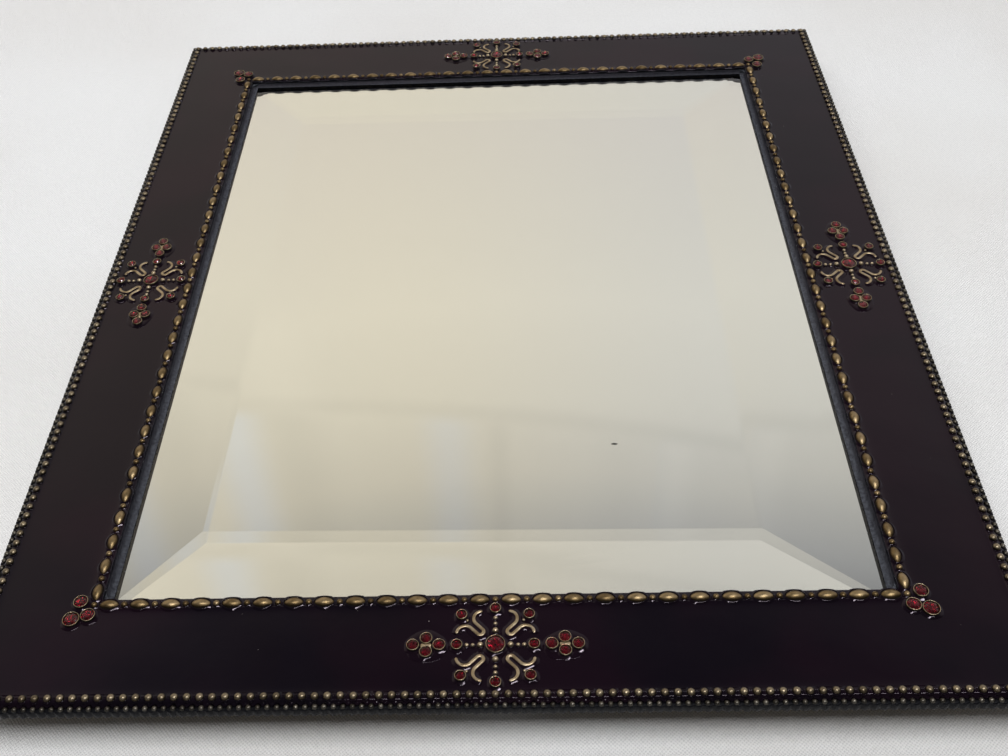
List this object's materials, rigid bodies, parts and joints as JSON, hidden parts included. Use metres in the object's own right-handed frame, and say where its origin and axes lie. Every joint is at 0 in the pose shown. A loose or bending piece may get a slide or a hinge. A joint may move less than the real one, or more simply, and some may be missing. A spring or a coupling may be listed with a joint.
{
  "type": "bevelled table mirror",
  "caption": "Rectangular bevelled mirror in a cast metal frame with dark enamel, beaded borders, scroll and crystal ornaments, and a folding easel leg behind.",
  "frame": {"origin": "middle of the rear rim's plane, on which the mirror lies face up", "axes": "+X to the mirror's right side, +Y to its top edge, +Z out of its face"},
  "size_m": [0.257, 0.3032, 0.0148],
  "materials": {
    "cast_frame": "antiqued",
    "antique_gold": "antiqued, worn bright on top",
    "enamel": "gloss",
    "crystal": "faceted",
    "clear_glass": "polished",
    "silvering": "mirror",
    "felt": "matte",
    "board": "hardboard",
    "velvet": "short pile",
    "hardware": "brushed",
    "steel": "brushed"
  },
  "bodies": {
    "frame": {"frame_casting": "cast_frame", "enamel_field": "enamel", "inner_beads_top": "antique_gold", "inner_beads_bottom": "antique_gold", "inner_beads_left": "antique_gold", "inner_beads_right": "antique_gold", "outer_beads_top": "antique_gold", "outer_beads_bottom": "antique_gold", "outer_beads_left": "antique_gold", "outer_beads_right": "antique_gold", "edge_moulding_top": "antique_gold", "edge_moulding_bottom": "antique_gold", "edge_moulding_left": "antique_gold", "edge_moulding_right": "antique_gold", "ornament_top": "antique_gold", "ornament_bottom": "antique_gold", "ornament_left": "antique_gold", "ornament_right": "antique_gold", "crystals_top": "crystal", "crystals_bottom": "crystal", "crystals_left": "crystal", "crystals_right": "crystal", "corner_setting_ne": "antique_gold", "corner_setting_nw": "antique_gold", "corner_setting_sw": "antique_gold", "corner_setting_se": "antique_gold", "corner_crystals_ne": "crystal", "corner_crystals_nw": "crystal", "corner_crystals_sw": "crystal", "corner_crystals_se": "crystal", "mirror_glass": "clear_glass", "mirror_silvering": "silvering", "felt_pad": "felt", "backing_board": "board", "board_velvet": "velvet", "board_hinge_leaf": "hardware", "hinge_pin": "steel", "board_leaf_rivets": "hardware", "turn_button_screws": "steel"},
    "leg": {"easel_leg": "velvet", "leg_hinge_leaf": "hardware", "leg_leaf_rivets": "hardware"},
    "turn_button_top_left": {"turn_button_top_left": "hardware"},
    "turn_button_top_right": {"turn_button_top_right": "hardware"},
    "turn_button_bottom_left": {"turn_button_bottom_left": "hardware"},
    "turn_button_bottom_right": {"turn_button_bottom_right": "hardware"},
    "turn_button_left_upper": {"turn_button_left_upper": "hardware"},
    "turn_button_left_lower": {"turn_button_left_lower": "hardware"},
    "turn_button_right_upper": {"turn_button_right_upper": "hardware"},
    "turn_button_right_lower": {"turn_button_right_lower": "hardware"}
  },
  "joints": [
    {"name": "leg_hinge", "type": "hinge", "parent": "frame", "child": "leg", "pos_m": [0, 0.05, 0.0026], "axis": [1, 0, 0], "range_deg": [0, 30]},
    {"name": "top_left_button_turn", "type": "hinge", "parent": "frame", "child": "turn_button_top_left", "pos_m": [-0.05588, 0.1307, 0.00375], "axis": [0, 0, 1], "range_deg": [-90, 90]},
    {"name": "top_right_button_turn", "type": "hinge", "parent": "frame", "child": "turn_button_top_right", "pos_m": [0.05588, 0.1307, 0.00375], "axis": [0, 0, 1], "range_deg": [-90, 90]},
    {"name": "bottom_left_button_turn", "type": "hinge", "parent": "frame", "child": "turn_button_bottom_left", "pos_m": [-0.05588, -0.1307, 0.00375], "axis": [0, 0, 1], "range_deg": [-90, 90]},
    {"name": "bottom_right_button_turn", "type": "hinge", "parent": "frame", "child": "turn_button_bottom_right", "pos_m": [0.05588, -0.1307, 0.00375], "axis": [0, 0, 1], "range_deg": [-90, 90]},
    {"name": "left_upper_button_turn", "type": "hinge", "parent": "frame", "child": "turn_button_left_upper", "pos_m": [-0.1053, 0.06985, 0.00375], "axis": [0, 0, 1], "range_deg": [-90, 90]},
    {"name": "left_lower_button_turn", "type": "hinge", "parent": "frame", "child": "turn_button_left_lower", "pos_m": [-0.1053, -0.06985, 0.00375], "axis": [0, 0, 1], "range_deg": [-90, 90]},
    {"name": "right_upper_button_turn", "type": "hinge", "parent": "frame", "child": "turn_button_right_upper", "pos_m": [0.1053, 0.06985, 0.00375], "axis": [0, 0, 1], "range_deg": [-90, 90]},
    {"name": "right_lower_button_turn", "type": "hinge", "parent": "frame", "child": "turn_button_right_lower", "pos_m": [0.1053, -0.06985, 0.00375], "axis": [0, 0, 1], "range_deg": [-90, 90]}
  ]
}
